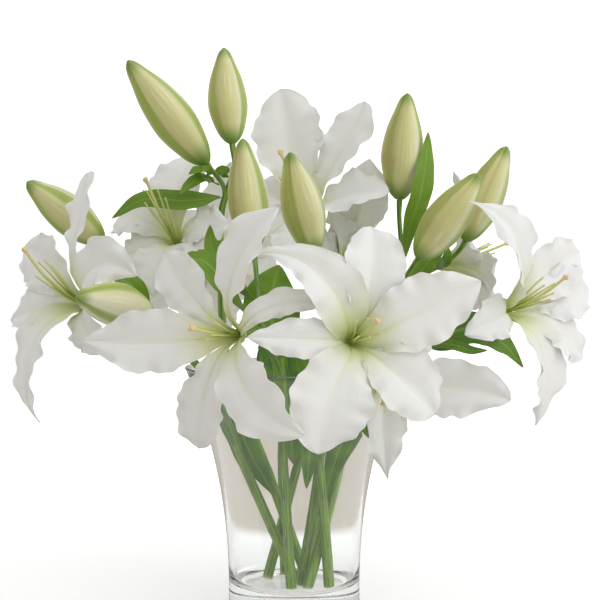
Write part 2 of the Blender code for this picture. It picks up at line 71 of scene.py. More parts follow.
Tepal = namedtuple("Tepal", "around open curl length width sway peak point twist", defaults=(0, 0.58, 1.0, 0))
Flower = namedtuple("Flower", "centre heading style lift tepals")
Bud = namedtuple("Bud", "base tip width")
Stem = namedtuple("Stem", "foot rim via end stalks")
Leaf = namedtuple("Leaf", "run at points width up peak", defaults=(0.42,))

# Flowers: centre in mm, heading, the style's length along the axis and its rise at the end in mm, and
# the numbers of six tepals. A tepal leaves the axis towards around (0 right, 90 up), opens to open
# degrees, curls further by curl, and sways sideways by sway and rolls by twist towards its tip. Its
# length and width are in mm. It is widest at the share peak of its length, and the higher point is,
# the more its tip narrows.
FLOWERS = {
    "front_left": Flower((-40, -142, 241), (-28, 4), 65, 4, (
        (78, 82, 20, 118, 44, -36, 0.70, 0.8, 30),
        (133, 84, 20, 88, 40, -4, 0.66, 0.6),
        (187, 66, 10, 118, 48, -8, 0.55, 1.0),
        (252, 88, 30, 98, 40, 8, 0.66, 0.6),
        (300, 70, 30, 128, 46, 44, 0.60, 1.0),
        (56, 110, 20, 90, 20, -78, 0.60, 0.8))),
    "front_right": Flower((42, -145, 236), (14, 12), 69, 5, (
        (101, 84, 25, 124, 42, 92, 0.42, 1.6),
        (78, 78, 60, 100, 48, 8, 0.60, 0.7),
        (25, 74, 5, 110, 53, 0, 0.54, 0.8),
        (-44, 78, 60, 94, 50, 0, 0.60, 0.8),
        (229, 85, 30, 102, 62, 38, 0.60, 0.7),
        (182, 84, 20, 92, 30, -8, 0.55, 0.9))),
    "low_right": Flower((64, -88, 216), (8, -22), 40, -15, (
        (10, 84, 15, 118, 52, -38, 0.56, 0.8),
        (268, 72, 30, 98, 36, 14, 0.50, 1.4),
        (222, 70, 20, 44, 34),
        (160, 60, 20, 34, 30),
        (98, 90, 30, 72, 38),
        (54, 85, 30, 66, 36))),
    "right": Flower((171, -20, 252), (50, 14), 67, 15, (
        (125, 66, 64, 142, 48, 22, 0.50, 1.4),
        (25, 74, 10, 104, 50, -6, 0.60, 0.6),
        (8, 76, 10, 100, 50, -7, 0.62, 0.6),
        (-26, 78, 30, 98, 46, -14, 0.60, 0.8),
        (-60, 98, 36, 118, 52, -36, 0.58, 1.2),
        (186, 96, 30, 78, 36, 18, 0.55, 0.8))),
    "left": Flower((-168, -30, 258), (-48, 18), 72, 26, (
        (240, 84, 50, 126, 44, 66, 0.42, 2.0),
        (136, 66, 20, 84, 48, 22, 0.62, 0.6),
        (205, 62, 30, 74, 38, 0, 0.60, 0.8),
        (69, 86, 20, 124, 34, 60, 0.76, 0.6),
        (68, 84, 54, 98, 44, -108, 0.56, 0.9),
        (-46, 98, 30, 64, 34, 0, 0.56, 0.8))),
    "back_left": Flower((-100, 30, 306), (-25, 40), 78, 8, (
        (100, 96, 12, 112, 60, 0, 0.60, 0.7),
        (160, 88, 40, 82, 50, 10, 0.60, 0.7),
        (4, 86, 20, 56, 46, 24, 0.60, 0.7),
        (212, 80, 40, 56, 42),
        (275, 84, 40, 74, 48),
        (-28, 80, 40, 66, 46))),
    "top": Flower((18, 60, 325), (-30, 45), 86, 2, (
        (115, 52, 10, 130, 66, -4, 0.62, 0.6),
        (44, 60, 10, 122, 50, 36, 0.66, 0.6),
        (0, 70, 30, 104, 48, 0, 0.60, 0.7),
        (160, 75, 40, 84, 48),
        (220, 75, 40, 72, 46),
        (290, 75, 40, 98, 50))),
    "centre_right": Flower((42, 20, 290), (140, 45), 88, 8, (
        (107, 40, 8, 94, 46, 0, 0.60, 0.8),
        (62, 45, 20, 52, 42),
        (-4, 60, 30, 50, 42),
        (-62, 74, 40, 84, 50),
        (-118, 70, 40, 54, 42),
        (176, 46, 20, 44, 38))),
    "back_right": Flower((135, 70, 290), (100, 15), 62, 4, (
        (88, 72, 40, 92, 52),
        (142, 78, 40, 56, 42),
        (207, 84, 80, 90, 50, 8),
        (272, 86, 80, 90, 48),
        (326, 84, 80, 92, 50, -10),
        (31, 76, 30, 98, 50, 6))),
    "rear": Flower((-60, 130, 285), (-160, 20), 88, 8, (
        (93, 78, 30, 110, 52, -8),
        (148, 84, 34, 104, 48, 10),
        (214, 76, 26, 112, 54),
        (268, 82, 44, 106, 50, 6),
        (327, 74, 30, 114, 52, -6),
        (32, 80, 38, 102, 48))),
}

# Buds: base, tip and width in mm.
BUDS = {
    "bud_1": Bud((-74, 0, 377), (-138, -20, 461), 36),
    "bud_2": Bud((-53, 10, 395), (-60, 10, 476), 33),
    "bud_3": Bud((-32, -60, 304), (-41, -60, 393), 32),
    "bud_4": Bud((17, -50, 302), (-3, -60, 382), 34),
    "bud_5": Bud((90, 6, 347), (96, -2, 436), 35),
    "bud_6": Bud((102, -40, 297), (149, -60, 365), 34),
    "bud_7": Bud((148, 20, 312), (182, 10, 392), 33),
    "bud_8": Bud((-164, 10, 311), (-224, -12, 361), 33),
    "bud_9": Bud((-112, -80, 253), (-163, -130, 269), 34),
}

# Stems: where the foot stands on the vase floor and where the stem passes the rim, both (x, y) in mm,
# points in mm on its way, the head it ends in, and the stalks that leave it: (head, share of the
# stem's length where the stalk starts).
STEMS = {
    "stem_1": Stem((-2, -33), (-13, -65), (), "front_left", (("bud_3", 0.80),)),
    "stem_2": Stem((29, -30), (15, -68), (), "front_right", (("bud_4", 0.76),)),
    "stem_3": Stem((6, -20), (32, -50), (), "low_right", ()),
    "stem_4": Stem((11, -34), (60, -14), (), "right", ()),
    "stem_5": Stem((6, 20), (62, 24), ((86, 8, 262),), "back_right", (
        ("bud_5", 0.74), ("bud_6", 0.72), ("bud_7", 0.80))),
    "stem_6": Stem((-23, 1), (28, 63), (), "top", (("centre_right", 0.62),)),
    "stem_7": Stem((-8, 16), (-14, 66), (), "rear", ()),
    "stem_8": Stem((11, 1), (-58, 26), ((-64, 30, 290), (-63, 26, 338)), "bud_2", (
        ("back_left", 0.66), ("bud_1", 0.86))),
    "stem_9": Stem((2, -9), (-78, -26), (), "left", (("bud_8", 0.88), ("bud_9", 0.80))),
}

# Leaves: the run that carries each and the share of its length, points in mm out to the tip, the
# width in mm, the way the upper face looks, and the share of the leaf's length where it is widest.
LEAVES = {
    "leaf_01": Leaf("stem_8", 0.87, ((-94, 16, 346), (-130, 15, 347), (-157, 15, 331)), 16, (0, -1, 0.35)),
    "leaf_02": Leaf("bud_1", 0.80, ((-79, -12, 371), (-88, -16, 367)), 10, (0, -0.6, 0.8)),
    "leaf_03": Leaf("bud_1", 0.50, ((-80, -4, 364), (-96, -12, 351)), 10, (0, -0.8, 0.6), 0.6),
    "leaf_04": Leaf("bud_5", 0.42, ((98, -8, 325), (105, -14, 348), (110, -12, 374), (113, -6, 403)), 17,
                    (0.3, -1, 0), 0.55),
    "leaf_05": Leaf("stem_5", 0.70, ((108, -4, 286), (122, -10, 303), (132, -18, 315)), 12, (-0.5, -1, 0.3)),
    "leaf_06": Leaf("stem_4", 0.78, ((122, -50, 235), (141, -60, 241), (158, -55, 237), (168, -53, 229),
                    (176, -51, 222), (187, -49, 208)), 25, (0, -1, 0.3), 0.28),
    "leaf_07": Leaf("stem_4", 0.74, ((126, -62, 228), (141, -70, 224), (154, -74, 224)), 7, (0, -1, 0.3)),
    "leaf_08": Leaf("stem_1", 0.72, ((-18, -60, 262), (-12, -58, 292)), 44, (0, -1, 0.2)),
    "leaf_09": Leaf("bud_3", 0.50, ((-58, -58, 292), (-67, -54, 308), (-68, -50, 324)), 14, (0.5, -1, 0)),
    "leaf_10": Leaf("bud_3", 0.25, ((-66, -68, 290), (-80, -64, 296), (-92, -60, 298)), 18, (0, -0.8, 0.6)),
    "leaf_11": Leaf("stem_9", 0.86, ((-132, -40, 272), (-150, -44, 284)), 20, (0, -0.8, 0.6)),
    "leaf_12": Leaf("stem_2", 0.65, ((15, -72, 180), (13, -62, 146), (10, -53, 110)), 20, (0.2, -1, 0)),
    "leaf_13": Leaf("stem_2", 0.82, ((37, -121, 206), (46, -129, 184), (57, -127, 162)), 14, (0.3, -1, 0)),
    "leaf_14": Leaf("stem_9", 0.58, ((-54, -12, 172), (-36, -8, 130), (-16, -4, 94)), 24, (-0.3, -1, 0)),
    "leaf_15": Leaf("stem_4", 0.58, ((50, -32, 168), (37, -32, 138), (25, -35, 100)), 24, (-0.3, -1, 0)),
    "leaf_16": Leaf("stem_8", 0.50, ((-60, 14, 178), (-53, 11, 148), (-46, 8, 116)), 22, (-0.6, -1, 0)),
    "leaf_17": Leaf("stem_7", 0.62, ((-10, 92, 225), (10, 122, 235), (20, 150, 225)), 34, (0, 0.3, 1)),
    "leaf_18": Leaf("stem_6", 0.66, ((70, 75, 250), (92, 100, 262), (110, 122, 255)), 34, (0, 0.3, 1)),
    "leaf_19": Leaf("stem_7", 0.68, ((-12, 50, 212), (-8, 30, 180), (-4, 22, 150), (0, 14, 118)), 46,
                    (0.2, -1, 0)),
    "leaf_20": Leaf("stem_8", 0.92, ((-62, 16, 372), (-70, 18, 368)), 8, (0, -1, 0.4)),
    "leaf_21": Leaf("bud_7", 0.55, ((129, -4, 296), (130, -6, 307)), 8, (0, -1, 0.2)),
}


# Shapes ---------------------------------------------------


def unit(vector):
    vector = np.asarray(vector, float)
    return vector / np.maximum(np.linalg.norm(vector, axis=-1, keepdims=True), 1e-12)


def ease(x):
    """A smooth rise from 0 to 1: x squared times (3 - 2x), with x held between 0 and 1."""
    x = np.clip(x, 0, 1)
    return x * x * (3 - 2 * x)


def hump(x, width):
    """A bell of height 1 at x = 0: e to the power of minus (x over width) squared."""
    return np.exp(-((x / width) ** 2))


def place(point_mm):
    return np.array(point_mm, float) * MM


def heading_vector(turn, rise):
    turn, rise = math.radians(turn), math.radians(rise)
    return np.array([math.sin(turn) * math.cos(rise), -math.cos(turn) * math.cos(rise), math.sin(rise)])


def frame_about(axis):
    """Right and up directions square to the axis."""
    up = unit(np.array([0, 0, 1.0]) - axis[2] * axis)
    return np.cross(up, axis), up


def angles(sides):
    """Even steps round a circle, in radians."""
    return np.arange(sides) * 2 * math.pi / sides


def draws(name, times=1, plus=0):
    """Random numbers for the piece called name, the same in each run."""
    return np.random.default_rng(sum(map(ord, name)) * times + plus)


def smooth_path(points, steps):
    """Catmull-Rom curve through the points: between two of them, a cubic with its slope at each set
    by the points on either side."""
    points = np.asarray(points, float)
    ends = np.concatenate([[2 * points[0] - points[1]], points, [2 * points[-1] - points[-2]]])
    u = np.linspace(0, len(points) - 1, steps + 1)
    i = np.minimum(u.astype(int), len(points) - 2)
    f = (u - i)[:, None]
    a, b, c, d = (ends[i + k] for k in range(4))
    return 0.5 * (2 * b + (c - a) * f + (2 * a - 5 * b + 4 * c - d) * f**2 + (3 * b - a - 3 * c + d) * f**3)


def arc_path(start, start_way, end, end_way, steps):
    """Bezier cubic that leaves start along start_way and arrives at end along end_way."""
    reach = np.linalg.norm(end - start) * ARC_PULL
    points = (start, start + unit(start_way) * reach, end - unit(end_way) * reach, end)
    t = np.linspace(0, 1, steps + 1)[:, None]
    return sum(math.comb(3, k) * t**k * (1 - t) ** (3 - k) * points[k] for k in range(4))


def length_shares(path):
    """How far along a path each of its points lies, from 0 to 1."""
    lengths = np.concatenate([[0], np.cumsum(np.linalg.norm(np.diff(path, axis=0), axis=1))])
    return lengths / lengths[-1]


def point_along(path, share):
    """Point and direction at a share of the path's length."""
    shares = length_shares(path)
    point = np.array([np.interp(share, shares, path[:, k]) for k in range(3)])
    i = min(np.searchsorted(shares, share, side="right"), len(path) - 1)
    return point, unit(path[i] - path[i - 1])


def sheet(middle, thickness):
    """Closed sheet round a grid of points. Each side lies half the thickness off along the grid's
    normal, which is along x across, and a rim joins the two. Side 0 is the normal's side."""
    normal = unit(np.cross(np.gradient(middle, axis=0), np.gradient(middle, axis=1)))
    half = normal * thickness[..., None] / 2
    rows, columns = middle.shape[:2]
    top, under = np.arange(2 * rows * columns).reshape(2, rows, columns)
    ring = np.concatenate([top[:, 0], top[-1, 1:], top[-2::-1, -1], top[0, -2:0:-1]])
    after, drop = np.roll(ring, -1), rows * columns
    faces = [np.stack([top[:-1, :-1], top[1:, :-1], top[1:, 1:], top[:-1, 1:]], -1).reshape(-1, 4),
             np.stack([under[:-1, :-1], under[:-1, 1:], under[1:, 1:], under[1:, :-1]], -1).reshape(-1, 4),
             np.stack([ring, ring + drop, after + drop, after], -1)]
    return np.stack([middle + half, middle - half]).reshape(-1, 3), faces


def turned_skin(grid):
    """Closed skin over a stack of rings (rings, sides, 3). A point at the middle of each end ring
    closes it, after the rings' own points."""
    count, sides = grid.shape[:2]
    ids = np.arange(count * sides).reshape(count, sides)
    after = np.roll(ids, -1, axis=1)
    walls = np.stack([ids[:-1], after[:-1], after[1:], ids[1:]], -1).reshape(-1, 4)
    first, last = np.full(sides, count * sides), np.full(sides, count * sides + 1)
    start, end = np.stack([after[0], ids[0], first], -1), np.stack([ids[-1], after[-1], last], -1)
    points = np.concatenate([grid.reshape(-1, 3), grid[[0, -1]].mean(axis=1)])
    return points, [walls, np.concatenate([start, end])]


def tube(path, radii, sides):
    """Rings round a path: centre plus radius times (cos a side + sin a other). The side is square to
    the path and to the direction that the path least follows."""
    ways = unit(np.gradient(path, axis=0))
    least = np.linalg.svd(ways)[2][-1]
    side = unit(np.cross(ways, least))
    other = np.cross(ways, side)
    a = angles(sides)[None, :, None]
    radii = np.asarray(radii).reshape(len(path), -1, 1)
    return path[:, None] + radii * (np.cos(a) * side[:, None] + np.sin(a) * other[:, None])


def turned(base, axis, profile, sides):
    """Rings about an axis: base plus height times the axis plus radius times (cos a right + sin a up)."""
    right, up = frame_about(unit(axis))
    a = angles(sides)[None, :, None]
    height, radius = np.asarray(profile, float).T[:, :, None, None]
    return base + height * unit(axis) + radius * (np.cos(a) * right + np.sin(a) * up)


def volume(points, faces):
    """Signed volume: a sixth of each triangle's corner . (corner x corner), over all the faces."""
    at = points - points.mean(axis=0)
    total = 0.0
    for face in faces:
        for k in range(1, face.shape[1] - 1):
            total += (at[face[:, 0]] * np.cross(at[face[:, k]], at[face[:, k + 1]])).sum()
    return total / 6


class Skin:
    """Closed surfaces gathered into one mesh, with named numbers at each of its points."""

    def __init__(self, *names):
        self.points, self.faces, self.count = [], [], 0
        self.fields = {name: [] for name in names}

    def add(self, surface, **fields):
        points, faces = surface
        turn = -1 if volume(points, faces) < 0 else 1
        self.faces += [tuple(face) for part in faces for face in (part[:, ::turn] + self.count).tolist()]
        self.points.append(points)
        self.count += len(points)
        for name, values in self.fields.items():
            values.append(np.broadcast_to(np.ravel(fields.get(name, 0.0)), len(points)))

    def add_rings(self, rings, **fields):
        """Adds the skin over a stack of rings. A field has a number for each ring, or for each point of
        each ring, and the middle of an end takes the mean of its ring."""
        full = {name: np.broadcast_to(field, rings.shape[:2]) for name, field in fields.items()}
        whole = {name: np.append(field, field[[0, -1]].mean(axis=1)) for name, field in full.items()}
        self.add(turned_skin(rings), **whole)

    def add_sheet(self, middle, thickness, s, v, outer_side, tone):
        """Adds a sheet whose points lie at s along it and at v across it."""
        along, across = (np.stack([field, field]) for field in np.broadcast_arrays(s, v))
        outer = np.zeros_like(along)
        outer[outer_side] = 1
        self.add(sheet(middle, thickness), along=along, across=across, outer=outer, tone=tone)

    def make(self, name, node, slot, finish, crease=50):
        """Makes the mesh piece, which stands for the frame's node and takes the given finish. The slot is not
        used.
        """
        mesh = bpy.data.meshes.new(name)
        mesh.from_pydata(np.concatenate(self.points).tolist(), [], self.faces)
        for field, values in self.fields.items():
            mesh.attributes.new(field, "FLOAT", "POINT").data.foreach_set("value", np.concatenate(values))
        mesh.shade_smooth()
        mesh.set_sharp_from_angle(angle=math.radians(crease))
        mesh.materials.append(finish)
        piece = bpy.data.objects.new(name, mesh)
        bpy.context.collection.objects.link(piece)
        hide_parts(node)
        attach(piece, "root")
        return piece


# Finishes -------------------------------------------------


class Field:
    """A number that changes over a surface. Arithmetic on it adds the Math nodes that work it out."""

    def __init__(self, nodes, socket):
        self.nodes, self.socket = nodes, socket

    def math(self, operation, *terms):
        return self.nodes.add("ShaderNodeMath", {"operation": operation}, dict(enumerate(terms)))

    def __add__(self, other):
        return self.math("ADD", self, other)

    def __radd__(self, other):
        return self.math("ADD", other, self)

    def __sub__(self, other):
        return self.math("SUBTRACT", self, other)

    def __rsub__(self, other):
        return self.math("SUBTRACT", other, self)

    def __mul__(self, other):
        return self.math("MULTIPLY", self, other)

    def __rmul__(self, other):
        return self.math("MULTIPLY", other, self)

    def __abs__(self):
        return self.math("ABSOLUTE", self)

    def rise(self, low, high):
        """0 at low and 1 at high, with a smooth rise between; low may be the greater."""
        return self.nodes.add("ShaderNodeMapRange", {"interpolation_type": "SMOOTHSTEP"},
                              {"Value": self, "From Min": low, "From Max": high})


class Nodes:
    """A node tree to which nodes are added."""

    def __init__(self, owner):
        owner.use_nodes = True
        self.tree = owner.node_tree

    def add(self, kind, settings=None, sockets=None, out=0):
        """Adds a node, sets it, then fills its sockets with numbers, colours or fields."""
        made = self.tree.nodes.new(kind)
        for name, value in (settings or {}).items():
            setattr(made, name, value)
        for name, value in (sockets or {}).items():
            self.fill(made.inputs[name], value)
        return Field(self, made.outputs[out])

    def fill(self, socket, value):
        if isinstance(value, Field):
            self.tree.links.new(value.socket, socket)
        else:
            socket.default_value = (*value, 1) if socket.type == "RGBA" else value

    def mix(self, share, one, other):
        """Colour one where share is 0 and colour other where it is 1."""
        return self.add("ShaderNodeMix", {"data_type": "RGBA"}, {0: share, 6: one, 7: other}, out=2)


class Finish(Nodes):
    """A material. Its colour starts plain, and each coat goes over what is there."""

    def __init__(self, name, colour, **constants):
        self.material = bpy.data.materials.new(name)
        super().__init__(self.material)
        self.shader = self.tree.nodes["Principled BSDF"]
        self.colour = colour
        self.paint(**constants)

    def attributes(self, *names):
        return [self.add("ShaderNodeAttribute", {"attribute_name": name}, out="Fac") for name in names]

    def noise(self, x, y, z, detail=2):
        """Smooth noise from 0 to 1 at the place (x, y, z)."""
        return self.noise_at(self.add("ShaderNodeCombineXYZ", None, {0: x, 1: y, 2: z}), 1, detail)

    def noise_in_space(self, scale, detail=2):
        return self.noise_at(self.add("ShaderNodeTexCoord", out="Object"), scale, detail)

    def noise_at(self, where, scale, detail):
        return self.add("ShaderNodeTexNoise", None, {"Vector": where, "Scale": scale, "Detail": detail})

    def coat(self, share, colour):
        """Covers the colour so far, fully where share is 1."""
        self.colour = self.mix(share, self.colour, colour)

    def raised(self, height, distance, strength):
        """Bump: height from 0 to 1 stands for distance metres."""
        bump = {"Height": height, "Distance": distance, "Strength": strength}
        self.paint(Normal=self.add("ShaderNodeBump", None, bump))

    def blend(self, share, other):
        """Mixes another shader into the material: none of it where share is 0, all where it is 1."""
        both = self.add("ShaderNodeMixShader", None, {0: share, 2: other}).socket
        self.tree.links.new(self.shader.outputs[0], both.node.inputs[1])
        self.tree.links.new(both, self.tree.nodes["Material Output"].inputs["Surface"])

    def paint(self, **sockets):
        for name, value in sockets.items():
            self.fill(self.shader.inputs[name.replace("_", " ")], value)

    def done(self, **sockets):
        self.paint(Base_Color=self.colour, **sockets)
        return self.material


def petal_finish(look):
    """Waxy white tepal with a yellow-green throat, a pale rib and faint veins along its length."""
    wax = Finish("petal", look.white, Subsurface_Weight=0.35, Subsurface_Scale=0.004,
                 Subsurface_Radius=(1.0, 0.85, 0.6), Specular_IOR_Level=0.35)
    along, across, outer, tone = wax.attributes("along", "across", "outer", "tone")
    streaks = wax.noise(along * 5, across * 16, tone * 40, detail=3)
    cloud = wax.noise(along * 3, across * 2, tone * 20 + 7, detail=1)
    rib = abs(across).rise(0.16, 0.0)
    wax.coat(cloud.rise(0.35, 0.75) * 0.5, look.cream)
    wax.coat(along.rise(0.48, 0.04) * (0.85 + 0.15 * streaks), look.throat)
    wax.coat(rib * along.rise(0.85, 0.2) * (0.45 + 0.25 * outer), look.rib)
    wax.coat(outer * along.rise(0.3, 0.0) * 0.8, look.claw)
    wax.coat(streaks.rise(0.45, 0.75) * 0.10, look.vein)
    wax.raised(streaks, 0.35 * MM, 0.6)
    return wax.done(Roughness=0.42 + 0.16 * streaks)


def pistil_finish(look):
    """Pale green style and filaments, yellower towards the stigma."""
    flesh = Finish("pistil", look.base, Subsurface_Weight=0.25, Subsurface_Scale=0.003,
                   Subsurface_Radius=(1.0, 0.9, 0.4))
    along, tip = flesh.attributes("along", "tip")
    speckle = flesh.noise_in_space(900)
    flesh.coat(along.rise(0.0, 0.7), look.middle)
    flesh.coat(tip, look.tip)
    flesh.raised(speckle, 0.15 * MM, 0.5)
    return flesh.done(Roughness=0.38 + 0.2 * speckle)


def bud_finish(look):
    """Closed bud: cream streaks, green bands, tan and reddish spots on its ripe side, painted light in cream
    on the side across from it, green ends.
    """
    skin = Finish("bud", look.body, Subsurface_Weight=0.2, Subsurface_Scale=0.004,
                  Subsurface_Radius=(1.0, 0.9, 0.5))
    along, rib, around, blush, pale = skin.attributes("along", "rib", "around", "blush", "pale")
    streaks = skin.noise(along * 2.5, around * 26, along * 0.3, detail=3)
    spots = skin.noise_in_space(260, 3)
    band = (rib + 0.6 * (streaks - 0.5)).rise(0.50, 0.95)
    # painted light: the side across from the ripe side is painted cream as the lit side
    skin.coat(pale * 0.9, look.cream)
    skin.coat(streaks.rise(0.5, 0.7) * 0.4, look.cream)
    skin.coat(band * 0.85, look.green)
    skin.coat(blush * (0.2 + 0.9 * streaks.rise(0.35, 0.65)), look.tan)
    skin.coat(blush * streaks.rise(0.55, 0.7) * spots.rise(0.45, 0.6) * 0.8, look.blush)
    skin.coat(along.rise(0.22, 0.0), look.cap)
    skin.coat(along.rise(0.84, 0.99) * 0.85, look.cap)
    skin.raised(streaks, 0.4 * MM, 0.7)
    return skin.done(Roughness=0.40 + 0.2 * streaks)


def leaf_finish(look):
    """Glossy leaf with parallel veins, a pale midrib and a duller, paler underside. Leaves that stand higher
    get painted light in a lighter green, and low ones stay darker as painted shade.
    """
    blade = Finish("leaf", look.dark, Subsurface_Weight=0.08, Subsurface_Scale=0.002,
                   Subsurface_Radius=(0.4, 1.0, 0.2), Specular_IOR_Level=0.5)
    along, across, outer, tone = blade.attributes("along", "across", "outer", "tone")
    veins = blade.noise(along * 2, across * 22, tone * 30, detail=3)
    blade.coat(veins.rise(0.3, 0.7), look.light)
    blade.coat(blade.noise_in_space(45).rise(0.4, 0.7) * 0.5, look.fresh_and_lit)
    # painted light: leaves that stand higher are painted lighter green as lit, and low ones stay dark as
    # painted shade
    blade.coat(tone.rise(0.35, 1.0) * 0.6, look.fresh_and_lit)
    blade.coat(outer * 0.55, look.under)
    blade.coat(abs(across).rise(0.12, 0.0) * 0.8, look.rib)
    blade.coat(along.rise(0.93, 1.0) * 0.8, look.dry)
    blade.raised(veins, 0.5 * MM, 0.8)
    return blade.done(Roughness=0.34 + 0.14 * veins + 0.12 * outer)


def stem_finish(look):
    """Smooth green stem, paler and bruised at the cut, with fine lengthwise streaks."""
    rind = Finish("stem", look.dark, Subsurface_Weight=0.05, Subsurface_Scale=0.002,
                  Subsurface_Radius=(0.4, 1.0, 0.2))
    along, scar, around = rind.attributes("along", "scar", "around")
    streaks = rind.noise(along * 9, around * 14, 0.5, detail=3)
    rind.coat(streaks.rise(0.3, 0.7), look.light)
    rind.coat(rind.noise_in_space(70).rise(0.45, 0.7) * 0.45, look.grey)
    rind.coat(scar, look.scar)
    rind.coat(along.rise(0.012, 0.0), look.cut)
    rind.raised(streaks, 0.4 * MM, 0.6)
    return rind.done(Roughness=0.36 + 0.2 * streaks)


def glass_finish(look):
    """Clear glass. Rays from lamps pass straight through it, so that light reaches the stems inside."""
    clear = Finish("glass", look.tint, Transmission_Weight=1.0, Roughness=0.0, IOR=look.bend)
    through = clear.add("ShaderNodeBsdfTransparent", None, {"Color": look.tint})
    clear.blend(clear.add("ShaderNodeLightPath", out="Is Shadow Ray"), through)
    return clear.done()


# Pieces ---------------------------------------------------

TEPAL_STEPS, TEPAL_SPAN = 56, 22
HUB_STEPS, HUB_SIDES = 15, 24
STYLE_STEPS, STYLE_SIDES = 48, 18
FILAMENT_STEPS, FILAMENT_SIDES = 30, 10
BUD_STEPS, BUD_SIDES = 60, 72
STEM_STEPS, STEM_SIDES = 104, 20
STALK_STEPS, STALK_SIDES = 36, 16
LEAF_STEPS, LEAF_SPAN = 48, 12
VASE_STEPS, VASE_SIDES = 40, 144

# Flowers
THROAT = 18                        # angle of the tepals to the flower's axis at the base
CLAW = 1.3                         # the higher, the longer a tepal stays narrow above its seat
TEPAL_SEAT_RADIUS = 3.8 * MM
HUB_DEPTH, HUB_TOP = 7 * MM, 2.2 * MM
HUB_PROFILE = ((-7, 2.6), (-5, 3.4), (-2.5, 4.6), (0, 4.9), (1.6, 4.6), (2.2, 3.4))   # height, radius in mm
OVARY_SWELL = 1.3 * MM
FILAMENT_CIRCLE = 1.4 * MM         # the six filaments start on this circle
FILAMENT_SHARE = 0.74              # length of the filaments, as a share of the style's
FILAMENT_SPREAD = 0.15             # how far they part, as a share of the style's length

# Buds: shares of the length and of the widest radius
BUD_PROFILE = ((0, 0.22), (0.05, 0.46), (0.15, 0.72), (0.32, 0.96), (0.46, 1.0), (0.66, 0.84), (0.84, 0.52),
               (0.95, 0.27), (1.0, 0.06))
RIPE_WAY = (-0.7, -0.4, 0.5)       # the buds ripen first on the side that looks this way; the side across from it is painted pale as the lit side

# Stems
STEM_FOOT_RADIUS, STEM_TOP_RADIUS, STALK_RADIUS = 4.4 * MM, 2.6 * MM, 2.0 * MM
NECK_RUN = 22 * MM                 # straight run of a stem below its head
SCARS = np.arange(0.06, 0.7, 0.045)    # shares of a stem's length where leaves have been stripped off
SCAR_TURN = 2.4                    # turn from one scar to the next, in radians

# Vase
FOOT_ROUND, CORNER = 2.5 * MM, 9 * MM  # radii of the outer edge of the foot and of the inner corner


def half_width(s, tepal):
    """A tepal's half width: the widest times a power of sin(pi s^p), with p set so that the peak is
    at tepal.peak. The power is CLAW below the peak and tepal.point above it."""
    p = math.log(0.5) / math.log(tepal.peak)
    power = np.where(s < tepal.peak, CLAW, tepal.point)
    swell = np.sin(math.pi * np.clip(s, 0, 1) ** p).clip(0) ** power
    return tepal.width * MM / 2 * swell + 2.4 * MM * (1 - s) ** 3 + 0.3 * MM


def waves(s, v, rng, counts):
    """Ruffle of the margins: for each count, a sine along the length with its own phase on each side,
    and half as deep as the one before."""
    total = 0.0
    for k, count in enumerate(counts):
        phase = np.where(v < 0, *rng.uniform(0, 1, 2))
        pace = np.where(v < 0, *rng.uniform(0.85, 1.15, 2))
        total = total + np.sin(2 * math.pi * (count * pace * s + phase)) / 2**k
    return total


def tepal_surface(flower, tepal, seat_turn, inner, rng, look):
    """Middle surface and thickness of one tepal, over s along it and v across it.

    The spine starts on the receptacle and tilts from the throat's angle to open, then by curl. Across
    it the section is an arc: half width over bend times (sin(bend v), 1 - cos(bend v)). The rib
    presses a groove into the inner face, a soft lobe swells on either side of it, and the margins
    ruffle with powers of v.
    """
    centre, axis = place(flower.centre), heading_vector(*flower.heading)
    right, up = frame_about(axis)
    s = np.linspace(0, 1, TEPAL_STEPS + 1)[:, None]
    v = np.sin(np.linspace(-math.pi / 2, math.pi / 2, TEPAL_SPAN + 1))[None]
    tilt = THROAT + (tepal.open - THROAT) * ease(s / 0.5) + tepal.curl * np.clip((s - 0.4) / 0.6, 0, 1) ** 1.6
    turn = seat_turn + (tepal.around - seat_turn) * ease(s / 0.35) + tepal.sway * s**1.5
    tilt, turn = np.radians(tilt), np.radians(turn)
    outward = np.cos(turn) * right + np.sin(turn) * up
    way = np.cos(tilt) * axis + np.sin(tilt) * outward
    run = np.cumsum((way[1:] + way[:-1]) / 2, axis=0) * tepal.length * MM / TEPAL_STEPS
    spine = centre + TEPAL_SEAT_RADIUS * outward[0] + np.concatenate([np.zeros((1, 3)), run])
    side = np.cross(axis, outward)
    side = unit(side - (side * way).sum(1, keepdims=True) * way)
    back = np.cross(side, way)
    roll = np.radians(tepal.twist) * ease(s)
    side, back = side * np.cos(roll) + back * np.sin(roll), back * np.cos(roll) - side * np.sin(roll)

    half = half_width(s, tepal)
    bend = 0.5 + 0.35 * (1 - ease(s / 0.25)) - 0.35 * ease((s - 0.55) / 0.45)
    free = ease((s - 0.15) / 0.3) * (1 - 0.8 * ease((s - 0.86) / 0.14))
    slow = waves(s, v, rng, (1.3,)) * look.ruffle * 0.7
    quick = waves(s, v, rng, (3.4, 7.1)) * look.ruffle
    notch = 1 + 0.05 * waves(s, v, rng, (4.3, 9.0)) * v**4 * free
    sideways = half / bend * np.sin(bend * v) * notch
    depth = -half / bend * (1 - np.cos(bend * v))
    depth = depth + look.groove * hump(v, 0.09) * (1 - s) ** 0.5
    depth = depth - look.lobe * np.sin(math.pi * np.abs(v)) ** 2 * free
    depth = depth + free * (quick * np.abs(v) ** 3 + slow * v**2)
    depth = depth + (-0.5 if inner else 0.5) * MM * (1 - ease((s - 0.25) / 0.3))
    middle = spine[:, None] + side[:, None] * sideways[..., None] + back[:, None] * depth[..., None]
    thickness = look.edge + (look.thickness - look.edge) * (1 - v**2) * (1 - 0.4 * s)
    thickness = thickness + look.rib_depth * hump(v, 0.08) * (1 - s)
    return middle, thickness, s, v


